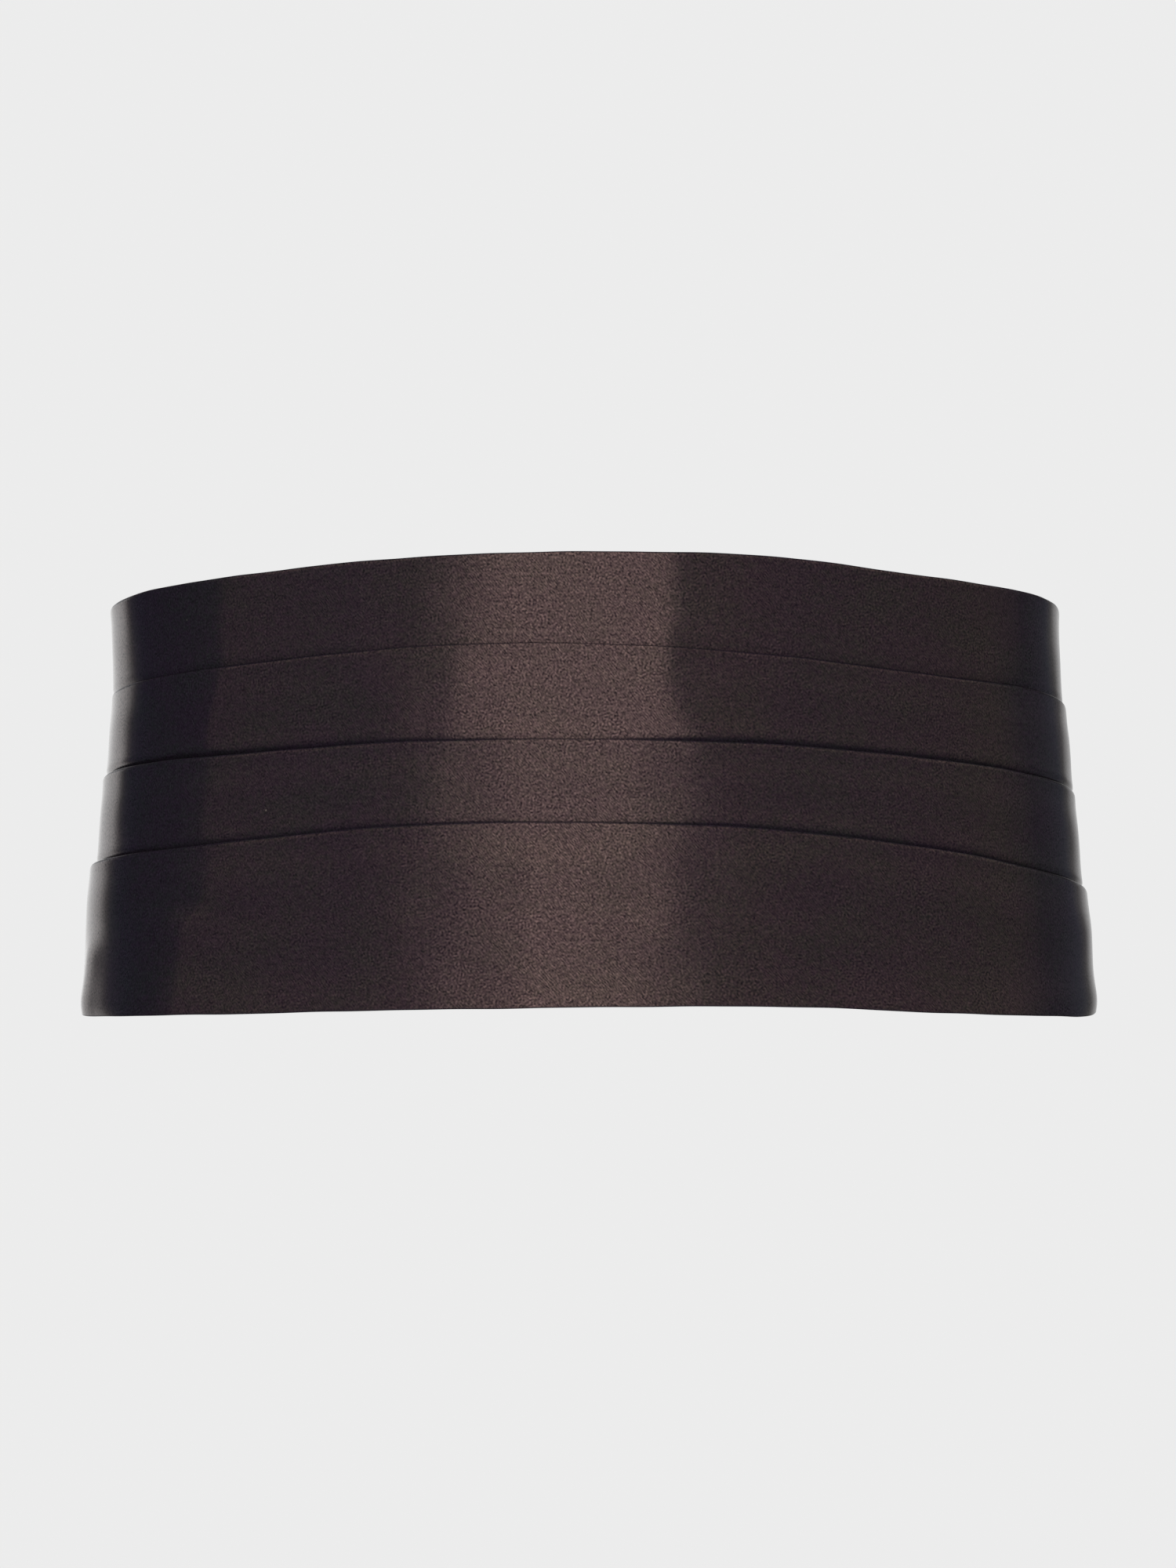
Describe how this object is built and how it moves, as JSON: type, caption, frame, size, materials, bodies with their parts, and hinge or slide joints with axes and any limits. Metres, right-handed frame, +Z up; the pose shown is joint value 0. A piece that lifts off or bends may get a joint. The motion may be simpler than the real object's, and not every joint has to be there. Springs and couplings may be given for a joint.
{
  "type": "pleated satin cummerbund",
  "caption": "Waist sash of pleated satin in its worn hollow form, pleats opening upwards, with tapered tabs and an adjustable strap and clasp at the back.",
  "frame": {"origin": "on the axis of the wearer's waist, level with the middle of the back strap", "axes": "+Z up, the front faces -Y, +X to the right of someone who looks at the front"},
  "size_m": [0.3062, 0.2206, 0.1328],
  "materials": {
    "satin": "dark brown satin, fine grained, with a soft sheen",
    "strap_cloth": "matt dark brown ribbed strap",
    "metal": "dark satin metal with bevelled edges"
  },
  "bodies": {
    "root": {"top_band": "satin", "second_band": "satin", "third_band": "satin", "bottom_band": "satin", "right_tab": "satin", "left_tab": "satin", "right_strap": "strap_cloth", "left_strap": "strap_cloth", "slider": "metal", "ring": "metal", "hook": "metal"}
  },
  "joints": []
}
